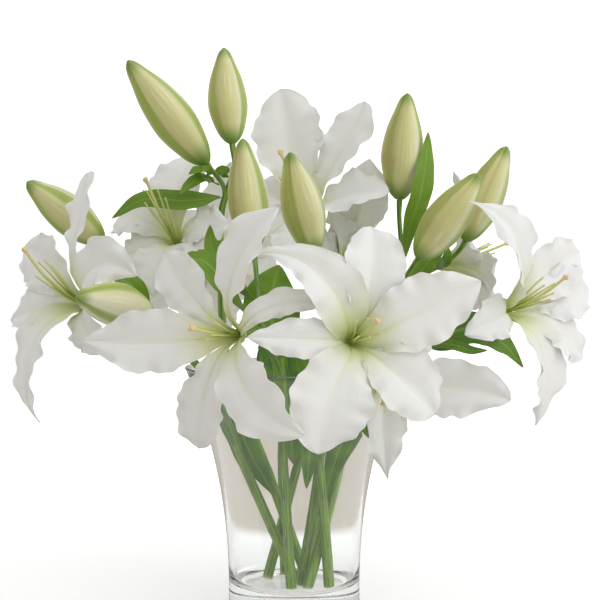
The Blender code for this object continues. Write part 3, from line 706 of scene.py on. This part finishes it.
def make_bloom(name, flower, look, finish):
    """Six tepals in two whorls of three on a small receptacle. Their seats are 60 degrees apart, and
    turned so that on average they face their tepals."""
    rng = draws(name)
    skin = Skin("along", "across", "outer", "tone")
    order = sorted((Tepal(*row) for row in flower.tepals), key=lambda tepal: tepal.around % 360)
    offsets = np.radians([tepal.around - 60 * i for i, tepal in enumerate(order)])
    even = math.degrees(math.atan2(np.sin(offsets).sum(), np.cos(offsets).sum()))
    for i, tepal in enumerate(order):
        seat_turn = tepal.around + (even + 60 * i - tepal.around + 180) % 360 - 180
        surface = tepal_surface(flower, tepal, seat_turn, i % 2 == 0, rng, look)
        skin.add_sheet(*surface, outer_side=1, tone=rng.uniform())
    profile = smooth_path(HUB_PROFILE, HUB_STEPS) * MM
    rings = turned(place(flower.centre), heading_vector(*flower.heading), profile, HUB_SIDES)
    skin.add_rings(rings, outer=1.0, across=1.0)
    return skin.make(f"bloom_{name}", f"lily_{name}", "petal", finish)


def make_heart(name, flower, look, finish):
    """Ovary, curved style with a three-lobed stigma, and a loose bundle of six bare filaments. The
    style's radius is its own, with the ovary and the flare of the stigma added, times 1 plus a share
    of cos 3a. A filament tapers evenly and has a small knob at its end."""
    axis = heading_vector(*flower.heading)
    centre = place(flower.centre) + axis * (HUB_TOP + SEAT)
    right, up = frame_about(axis)
    rng = draws(name, plus=5)
    skin = Skin("along", "tip")
    reach, rise = axis * flower.style * MM, up * flower.lift * MM
    path = arc_path(centre, axis, centre + reach + rise, reach + 2 * rise, STYLE_STEPS)
    share = np.linspace(0, 1, STYLE_STEPS + 1)[:, None]
    ovary = OVARY_SWELL * ease(1 - (share - 0.16) / 0.10)
    flare = (look.stigma - look.style) * ease((share - 0.93) / 0.06)
    lobes = 0.10 * ease(1 - (share - 0.2) / 0.1) + 0.28 * ease((share - 0.93) / 0.05)
    radii = (look.style + ovary + flare) * (1 + lobes * np.cos(3 * angles(STYLE_SIDES)))
    radii[-1] *= 0.55
    skin.add_rings(tube(path, radii, STYLE_SIDES), along=share, tip=ease((share - 0.86) / 0.1))
    share = np.linspace(0, 1, FILAMENT_STEPS + 1)[:, None]
    radii = look.filament * (1 - 0.45 * share + 0.3 * hump(share - 0.98, 0.015))
    for k in range(6):
        angle = math.radians(60 * k + 30 + rng.uniform(-9, 9))
        outward = math.cos(angle) * right + math.sin(angle) * up
        spread = outward * flower.style * MM * FILAMENT_SPREAD * rng.uniform(0.6, 1.1)
        end = centre + (reach + rise * 0.8) * FILAMENT_SHARE * rng.uniform(0.9, 1.02) + spread
        path = arc_path(centre + outward * FILAMENT_CIRCLE, axis, end, reach + rise + spread, FILAMENT_STEPS)
        rings = tube(path, radii, FILAMENT_SIDES)
        skin.add_rings(rings, along=share * 0.8, tip=ease((share - 0.95) / 0.05) * 0.6)
    return skin.make(f"heart_{name}", f"pistil_{name}", "pistil", finish)


def make_closed_bud(name, bud, look, finish):
    """Long closed bud: the widest radius times the profile times (1 + 0.06 cos 3a), with three ridges
    and three narrow seams between them. Its green bands run down both edges as seen from the front
    and down the back. One side has ripened to tan, and the side across from it is painted pale as the lit
    side."""
    base, tip = place(bud.base), place(bud.tip)
    length, widest = np.linalg.norm(tip - base), bud.width * MM / 2
    axis = unit(tip - base)
    right, up = frame_about(axis)
    rng = draws(name, times=7)
    s, share = smooth_path(BUD_PROFILE, BUD_STEPS).T[..., None]
    a = angles(BUD_SIDES)
    ribs = (1 + np.cos(3 * a)) / 2
    seam = hump(np.sin(1.5 * a) ** 2 - 1, 0.05)
    radius = widest * share * (1 + 0.06 * np.cos(3 * a) * (1 + 2 * ease((s - 0.8) / 0.2)))
    radius = radius + (look.ridge * ribs**6 - look.seam * seam) * ease(s / 0.15) * ease((1 - s) / 0.04)
    bow = 0.02 * length * np.sin(math.pi * s) * rng.uniform(-1, 1)
    turn = np.cos(a)[:, None] * right + np.sin(a)[:, None] * up
    rings = base + (s * length)[..., None] * axis + bow[..., None] * up + radius[..., None] * turn
    ripe = turn @ unit(RIPE_WAY)
    blush = ease((ripe - 0.35) / 0.55) * ease((s - 0.1) / 0.3) * rng.uniform(0.5, 1.0)
    front = math.atan2(-up[1], -right[1]) + rng.uniform(-0.3, 0.3)
    skin = Skin("along", "rib", "around", "blush", "pale")
    # pale marks the side across from the ripe side, where light is painted in cream
    skin.add_rings(rings, along=s, rib=(1 - np.cos(3 * (a - front))) / 2, around=np.abs(np.sin(a / 2)),
                   blush=blush, pale=ease(0.35 - ripe))
    return skin.make(f"closed_{name}", name, "bud", finish)


def head_seat(name):
    """Where a stalk ends under a head, and the way it points there."""
    if name in FLOWERS:
        axis = heading_vector(*FLOWERS[name].heading)
        return place(FLOWERS[name].centre) - axis * (HUB_DEPTH + SEAT), axis
    axis = unit(place(BUDS[name].tip) - place(BUDS[name].base))
    return place(BUDS[name].base) - axis * SEAT, axis


def stem_route(stem, steps):
    """Foot on the vase floor, past the rim, through the named points and up to the head. A leaning
    stem rests on the edge of its cut end, so its centre lies higher there."""
    vase = bpy.context.scene.lily_vase
    foot = np.array([*place(stem.foot), vase.floor + SEAT])
    rim = np.array([*place(stem.rim), vase.height])
    foot[2] += STEM_FOOT_RADIUS * np.hypot(*(rim - foot)[:2]) / np.linalg.norm(rim - foot)
    seat, way = head_seat(stem.end)
    points = [foot, (foot + rim) / 2, rim, *(place(p) for p in stem.via), seat - way * NECK_RUN, seat]
    return smooth_path(points, steps)


def stem_radius(share):
    return STEM_FOOT_RADIUS + (STEM_TOP_RADIUS - STEM_FOOT_RADIUS) * share


def make_cut_stem(name, stem, runs, finish):
    """Tapering stem with leaf scars, and the short stalks that leave it for their heads. Its radius
    shrinks evenly, times 1 + 0.05 sin(5a + 9 share), with a small bump at each scar."""
    path = stem_route(stem, STEM_STEPS)
    runs[name] = path
    rng = draws(name)
    share = length_shares(path)[:, None]
    a = angles(STEM_SIDES)
    scar = 0.0
    for k, at in enumerate(SCARS):
        bump = hump(share - at - rng.uniform(-0.01, 0.01), 0.006)
        scar = scar + bump * hump(np.sin((a - SCAR_TURN * k) / 2), 0.45)
    radii = stem_radius(share) * (1 + 0.05 * np.sin(5 * a + 9 * share)) + 0.5 * MM * scar
    skin = Skin("along", "around", "scar")
    skin.add_rings(tube(path, radii, STEM_SIDES), along=share, around=np.abs(np.sin(a / 2)), scar=scar * 0.6)
    for head, at in stem.stalks:
        start, start_way = point_along(path, at)
        seat, way = head_seat(head)
        runs[head] = arc_path(start, start_way, seat, way, STALK_STEPS)
        radii = STALK_RADIUS * (1 + 0.25 * ease((np.linspace(0, 1, STALK_STEPS + 1) - 0.85) / 0.15))
        skin.add_rings(tube(runs[head], radii, STALK_SIDES), around=np.abs(np.sin(angles(STALK_SIDES) / 2)),
                       along=np.linspace(0.5, 1, STALK_STEPS + 1)[:, None])
    return skin.make(f"cut_{name}", name, "stem", finish)


def make_blade(name, leaf, runs, look, finish):
    """Lance-shaped leaf. It starts at the skin of its run with its face along the skin, and turns to
    leaf.up further out. Its half width is the widest times a power of sin(pi s^p), with the peak at
    leaf.peak. It folds along the midrib with the root of v squared, and waves at the margins."""
    start, run_way = point_along(runs[leaf.run], leaf.at)
    out = place(leaf.points[0]) - start
    out = unit(out - out.dot(run_way) * run_way)
    skin_radius = STALK_RADIUS if leaf.run in BUDS else stem_radius(leaf.at)
    start = start + out * (skin_radius + SEAT + look.thickness / 2)
    path = smooth_path([start, *(place(p) for p in leaf.points)], LEAF_STEPS)
    ways = unit(np.gradient(path, axis=0))
    s = np.linspace(0, 1, LEAF_STEPS + 1)[:, None]
    v = np.linspace(-1, 1, LEAF_SPAN + 1)[None]
    turn = ease(s / 0.4)
    side = unit(np.cross(ways, out * (1 - turn) + unit(leaf.up) * turn))
    face = np.cross(side, ways)
    swell = np.sin(math.pi * s ** (math.log(0.5) / math.log(leaf.peak))).clip(0) ** 0.8
    half = leaf.width * MM / 2 * swell + 1.2 * MM * (1 - s) + 0.3 * MM
    fold = 0.2 * half * np.sqrt(v**2 + 0.01)
    wave = waves(s, v, draws(name, times=3), (2.2, 4.7)) * v**2 * ease(s / 0.2) * ease((1 - s) / 0.2)
    depth = fold + look.wave * wave * half / (12 * MM)
    middle = path[:, None] + side[:, None] * (half * v)[..., None] + face[:, None] * depth[..., None]
    thickness = look.thickness * (1 - 0.6 * v**2) * (1 - 0.4 * s) + 0.5 * MM * hump(v, 0.09) * (1 - s)
    # tone: 0 for a low leaf and 1 for a high one; it sets the painted light, a lighter green on high leaves,
    # and seeds the veins
    tone = ease((path[:, 2].mean() - 0.12) / 0.18)
    skin = Skin("along", "across", "outer", "tone")
    skin.add_sheet(middle, thickness, s, v, outer_side=0, tone=tone)
    return skin.make(f"blade{name[4:]}", name, "leaf", finish)


def make_glass_vase(look, finish):
    """One turned glass body: foot, flaring outside, round rim, inside wall, round corner and floor.
    The outer radius grows from the foot with the square of the height above the floor."""
    def outer(z):
        t = np.clip((z - look.floor) / (look.height - look.floor), 0, 1)
        return look.foot + (look.rim - look.foot) * t**2

    def arc(r, z, radius, start, end, steps):
        a = np.radians(np.linspace(start, end, steps))
        return np.stack([r + radius * np.cos(a), z + radius * np.sin(a)], -1)

    lip = look.lip / 2
    heights = np.linspace(FOOT_ROUND * 2, look.height - lip, VASE_STEPS)
    back = heights[::-1]
    back = back[back > look.floor + CORNER]
    wall = look.wall + (look.lip - look.wall) * back / look.height
    profile = np.concatenate([
        [(1 * MM, 0.8 * MM), (look.foot * 0.6, 0.8 * MM), (look.foot * 0.8, 0)],
        arc(look.foot - FOOT_ROUND, FOOT_ROUND, FOOT_ROUND, -90, 0, 7),
        np.stack([outer(heights), heights], -1),
        arc(look.rim - lip, look.height - lip, lip, 10, 170, 9),
        np.stack([outer(back) - wall, back], -1),
        arc(look.foot - look.wall - CORNER, look.floor + CORNER, CORNER, 0, -90, 12),
        [(look.foot * 0.5, look.floor + 0.6 * MM), (1 * MM, look.floor + 1 * MM)],
    ])
    a = angles(VASE_SIDES)
    r, z = profile[:, :1], profile[:, 1:]
    skin = Skin()
    skin.add_rings(np.stack([r * np.cos(a), r * np.sin(a), z + 0 * a], -1))
    return skin.make("glass_vase", "vase", "glass", finish, crease=60)


# Sizes and colours ----------------------------------------


def length(name, description, default):
    return FloatProperty(name=name, description=description, default=default, unit="LENGTH", precision=4)


def colour(name, description, default):
    return FloatVectorProperty(name=name, description=description, default=default, subtype="COLOR", size=3,
                               min=0, max=1)


class LilyVase(bpy.types.PropertyGroup):
    """Sizes and glass of the vase"""
    height: length("Height", "Height of the rim above the table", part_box("vase")[1].z)
    rim: length("Rim radius", "Outer radius at the rim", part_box("vase")[1].x)
    foot: length("Foot radius", "Outer radius at the foot", 0.056)
    floor: length("Floor", "Thickness of the glass bottom", 0.02)
    wall: length("Wall", "Thickness of the wall near the foot", 0.004)
    lip: length("Lip", "Thickness of the wall at the rim", 0.003)
    bend: FloatProperty(name="Index", description="How strongly the glass bends light", default=1.45)
    tint: colour("Tint", "Colour of the glass", (0.98, 0.99, 0.985))


class LilyBloom(bpy.types.PropertyGroup):
    """Sizes and colours of the tepals"""
    thickness: length("Thickness", "Thickness of a tepal along its middle", 0.0009)
    edge: length("Edge", "Thickness of a tepal at its margin", 0.0003)
    rib_depth: length("Rib", "How far the rib stands out at the back", 0.0008)
    groove: length("Groove", "Depth of the groove along the inner face", 0.0014)
    lobe: length("Lobe", "Swelling on either side of the groove", 0.0017)
    ruffle: length("Ruffle", "Depth of the waves along the margins", 0.0026)
    white: colour("White", "Colour of the tepals", (0.9, 0.895, 0.875))
    cream: colour("Cream", "Warmer patches of the tepals", (0.87, 0.84, 0.75))
    throat: colour("Throat", "Inner face near the receptacle", (0.66, 0.72, 0.26))
    rib: colour("Rib colour", "Pale green along the rib", (0.7, 0.74, 0.42))
    claw: colour("Claw", "Back of a tepal near the receptacle", (0.5, 0.62, 0.24))
    vein: colour("Vein", "Faint veins", (0.72, 0.72, 0.62))


class LilyHeart(bpy.types.PropertyGroup):
    """Sizes and colours of the styles and filaments"""
    style: length("Style", "Radius of the style", 0.0012)
    stigma: length("Stigma", "Radius of the stigma", 0.0025)
    filament: length("Filament", "Radius of a filament at its root", 0.0011)
    base: colour("Base", "Colour at the base", (0.3, 0.4, 0.08))
    middle: colour("Middle", "Colour further out", (0.62, 0.64, 0.24))
    tip: colour("Tip", "Colour of the stigma and the ends", (0.8, 0.6, 0.32))


class LilyBuds(bpy.types.PropertyGroup):
    """Sizes and colours of the buds"""
    ridge: length("Ridge", "How far each rib stands out", 0.0006)
    seam: length("Seam", "Depth of each seam", 0.001)
    body: colour("Body", "Between the ribs", (0.66, 0.64, 0.28))
    green: colour("Green", "Band along each rib", (0.33, 0.44, 0.06))
    # this cream goes on random streaks, and as painted light on the lit side of each bud
    cream: colour("Cream", "Pale side", (0.9, 0.89, 0.74))
    tan: colour("Tan", "Ripe side", (0.47, 0.37, 0.17))
    blush: colour("Blush", "Reddish spots", (0.5, 0.22, 0.14))
    cap: colour("Cap", "Base and tip", (0.17, 0.31, 0.035))


class LilyLeaves(bpy.types.PropertyGroup):
    """Sizes and colours of the leaves"""
    thickness: length("Thickness", "Thickness of a leaf", 0.0009)
    wave: length("Wave", "Depth of the waves along the margins", 0.0012)
    dark: colour("Dark", "Between the veins", (0.03, 0.11, 0.01))
    light: colour("Light", "Along the veins", (0.12, 0.28, 0.014))
    # this green goes on random younger patches, and as painted light on leaves that stand higher
    fresh_and_lit: colour("Fresh", "Younger patches", (0.21, 0.36, 0.016))
    under: colour("Underside", "Underside", (0.13, 0.275, 0.055))
    rib: colour("Midrib", "Along the midrib", (0.26, 0.43, 0.08))
    dry: colour("Dry tip", "Dried tip", (0.3, 0.2, 0.07))


class LilyStems(bpy.types.PropertyGroup):
    """Colours of the stems"""
    dark: colour("Dark", "Darker streaks", (0.035, 0.11, 0.012))
    light: colour("Light", "Lighter streaks", (0.28, 0.46, 0.05))
    grey: colour("Bloom", "Greyish patches", (0.2, 0.3, 0.14))
    scar: colour("Scar", "Leaf scars", (0.3, 0.33, 0.14))
    cut: colour("Cut", "Cut end", (0.48, 0.52, 0.28))


class LilyStage(bpy.types.PropertyGroup):
    """Camera and light"""
    lens: FloatProperty(name="Lens", description="Focal length", default=77.6, subtype="DISTANCE_CAMERA")
    eye: FloatVectorProperty(name="Eye", description="Where the camera stands", subtype="TRANSLATION",
                             default=(0.005, -1.1, 0.3045), size=3)
    dip: FloatProperty(name="Dip", description="Tilt of the camera below the horizontal",
                       default=math.radians(2.25), subtype="ANGLE")
    fill: FloatProperty(name="Fill", description="Brightness of the bright side of the room", default=0.9)
    dim: colour("Dim side", "Light from the dim side of the room", (0.4, 0.385, 0.345))
    wall: colour("Wall", "Colour of the wall seen through the glass", (0.62, 0.565, 0.49))
    key: FloatProperty(name="Key", description="Power of the main lamp in watts", default=7.5)


# Operators ------------------------------------------------


def make_each(table, make, *rest):
    for name, item in table.items():
        make(name, item, *rest)
    return {"FINISHED"}


class LILY_OT_vase(bpy.types.Operator):
    """Makes the glass vase"""
    bl_idname = "lily.vase"
    bl_label = "Vase"

    def execute(self, context):
        look = context.scene.lily_vase
        make_glass_vase(look, glass_finish(look))
        return {"FINISHED"}


class LILY_OT_blooms(bpy.types.Operator):
    """Makes the open flowers"""
    bl_idname = "lily.blooms"
    bl_label = "Blooms"

    def execute(self, context):
        look = context.scene.lily_bloom
        return make_each(FLOWERS, make_bloom, look, petal_finish(look))


class LILY_OT_hearts(bpy.types.Operator):
    """Makes the styles and filaments"""
    bl_idname = "lily.hearts"
    bl_label = "Styles and filaments"

    def execute(self, context):
        look = context.scene.lily_heart
        return make_each(FLOWERS, make_heart, look, pistil_finish(look))


class LILY_OT_buds(bpy.types.Operator):
    """Makes the closed buds"""
    bl_idname = "lily.buds"
    bl_label = "Buds"

    def execute(self, context):
        look = context.scene.lily_buds
        return make_each(BUDS, make_closed_bud, look, bud_finish(look))


class LILY_OT_greenery(bpy.types.Operator):
    """Makes the stems and the leaves that grow on them"""
    bl_idname = "lily.greenery"
    bl_label = "Stems and leaves"

    def execute(self, context):
        runs, look = {}, context.scene.lily_leaves
        make_each(STEMS, make_cut_stem, runs, stem_finish(context.scene.lily_stems))
        return make_each(LEAVES, make_blade, runs, look, leaf_finish(look))


class LILY_OT_stage(bpy.types.Operator):
    """Makes the floor, the light and the camera"""
    bl_idname = "lily.stage"
    bl_label = "Stage"

    def execute(self, context):
        look = context.scene.lily_stage
        make_floor(look)
        make_room(look)
        add_lamp("key", (1.5, -0.9, 1.4), 1.0, look.key)
        add_lamp("low", (1.0, -0.9, 0.15), 0.8, look.key * LOW_SHARE)
        camera = bpy.data.objects.new("camera", bpy.data.cameras.new("camera"))
        context.collection.objects.link(camera)
        camera.data.lens, camera.data.sensor_width = look.lens, FILM_WIDTH
        camera.location = look.eye
        camera.rotation_euler = (math.pi / 2 - look.dip, 0, 0)
        context.scene.camera = camera
        context.scene.view_settings.view_transform = "Standard"
        return {"FINISHED"}


TABLE_SIDE, TABLE_FRONT, TABLE_BACK = 0.6, -3.0, 2.0
COVE, WALL_TOP = 0.8, 4.0              # radius between table and wall, and top of the wall
FAR_EDGE = (0.24, 0.30)                # the table seen through the glass ends between these depths
LIGHT_WAY = (0.30, 0.0, 0.95)          # the room is brightest this way
WHITE_LEVEL = 1.02                     # the room as the camera sees it
BOUQUET_MIDDLE = (0, 0, 0.25)          # where the lamps point
LOW_SHARE = 0.3                        # power of the low lamp, as a share of the main lamp's
FILM_WIDTH = 36


def make_floor(look):
    """White table that runs up into a wall behind: flat, then a quarter turn, then upright. Seen
    through the glass, the wall and the far part of the table are beige."""
    t = np.linspace(0, math.pi / 2, 17)
    depth = np.concatenate([[TABLE_FRONT], TABLE_BACK + COVE * np.sin(t), [TABLE_BACK + COVE]])
    height = np.concatenate([[0], COVE - COVE * np.cos(t), [WALL_TOP]])
    points = [(x, y, z) for y, z in zip(depth, height) for x in (-TABLE_SIDE, TABLE_SIDE)]
    ids = np.arange(len(points)).reshape(-1, 2)
    faces = np.concatenate([ids[:-1], ids[1:, ::-1]], axis=1)
    mesh = bpy.data.meshes.new("floor")
    mesh.from_pydata(points, [], faces.tolist())
    mesh.shade_smooth()
    paper = Finish("floor", (0.62, 0.60, 0.57), Roughness=0.9, Specular_IOR_Level=0.1)
    seen = paper.add("ShaderNodeLightPath", out="Is Camera Ray")
    through = paper.add("ShaderNodeLightPath", out="Is Transmission Ray")
    where = paper.add("ShaderNodeTexCoord", out="Object")
    y = paper.add("ShaderNodeSeparateXYZ", None, {0: where}, out="Y")
    paper.coat(seen + through, (0.92, 0.92, 0.92))
    glow = (seen + through) * (0.30 + 0.40 * y.rise(0.1, 0.8))
    paper.paint(Emission_Color=(1, 1, 1), Emission_Strength=glow)
    paper.blend(through * y.rise(*FAR_EDGE), paper.add("ShaderNodeEmission", None, {"Color": look.wall}))
    mesh.materials.append(paper.done())
    floor = bpy.data.objects.new("floor", mesh)
    bpy.context.collection.objects.link(floor)


def make_room(look):
    """Room: pure white where the camera sees it. For the bouquet it is a softer light, palest towards
    LIGHT_WAY and beige away from it."""
    world = bpy.data.worlds.new("room")
    room = Nodes(world)
    where = room.add("ShaderNodeTexCoord", out="Generated")
    towards = room.add("ShaderNodeVectorMath", {"operation": "DOT_PRODUCT"}, {0: where, 1: unit(LIGHT_WAY)},
                       out="Value")
    share = room.add("ShaderNodeMapRange", None, {"Value": towards, "From Min": -1})
    soft = room.mix(share, look.dim, [look.fill] * 3)
    light = room.mix(room.add("ShaderNodeLightPath", out="Is Camera Ray"), soft, [WHITE_LEVEL] * 3)
    room.fill(room.tree.nodes["Background"].inputs["Color"], light)
    bpy.context.scene.world = world


def add_lamp(name, at, size, power):
    """Square soft lamp that looks at the middle of the bouquet."""
    light = bpy.data.lights.new(name, "AREA")
    light.energy, light.size = power, size
    lamp = bpy.data.objects.new(name, light)
    bpy.context.collection.objects.link(lamp)
    lamp.location = at
    lamp.rotation_euler = (Vector(BOUQUET_MIDDLE) - Vector(at)).to_track_quat("-Z", "Y").to_euler()


class LILY_PT_sidebar(bpy.types.Panel):
    """Lists the pieces with their sizes and colours"""
    bl_idname = "LILY_PT_sidebar"
    bl_label = "White Lilies in a Vase"
    bl_space_type = "VIEW_3D"
    bl_region_type = "UI"
    bl_category = "Lilies"

    def draw(self, context):
        for operator, groups in PIECES.items():
            box = self.layout.box()
            box.operator(operator)
            for look in (getattr(context.scene, group) for group in groups):
                for name in look.bl_rna.properties.keys():
                    if name not in ("rna_type", "name"):
                        box.prop(look, name)


GROUPS = {
    "lily_vase": LilyVase, "lily_bloom": LilyBloom, "lily_heart": LilyHeart, "lily_buds": LilyBuds,
    "lily_stems": LilyStems, "lily_leaves": LilyLeaves, "lily_stage": LilyStage,
}
PIECES = {
    "lily.vase": ["lily_vase"], "lily.blooms": ["lily_bloom"], "lily.hearts": ["lily_heart"],
    "lily.buds": ["lily_buds"], "lily.greenery": ["lily_stems", "lily_leaves"], "lily.stage": ["lily_stage"],
}
CLASSES = (LILY_OT_vase, LILY_OT_blooms, LILY_OT_hearts, LILY_OT_buds, LILY_OT_greenery, LILY_OT_stage,
           LILY_PT_sidebar)


def register():
    for group in GROUPS.values():
        bpy.utils.register_class(group)
    for cls in CLASSES:
        bpy.utils.register_class(cls)
    for name, group in GROUPS.items():
        setattr(bpy.types.Scene, name, PointerProperty(type=group))


def unregister():
    for name in GROUPS:
        delattr(bpy.types.Scene, name)
    for cls in reversed(CLASSES):
        bpy.utils.unregister_class(cls)
    for group in GROUPS.values():
        bpy.utils.unregister_class(group)


def main():
    register()
    for operator in PIECES:
        group, name = operator.split(".")
        getattr(getattr(bpy.ops, group), name)()


if __name__ == "__main__":
    main()
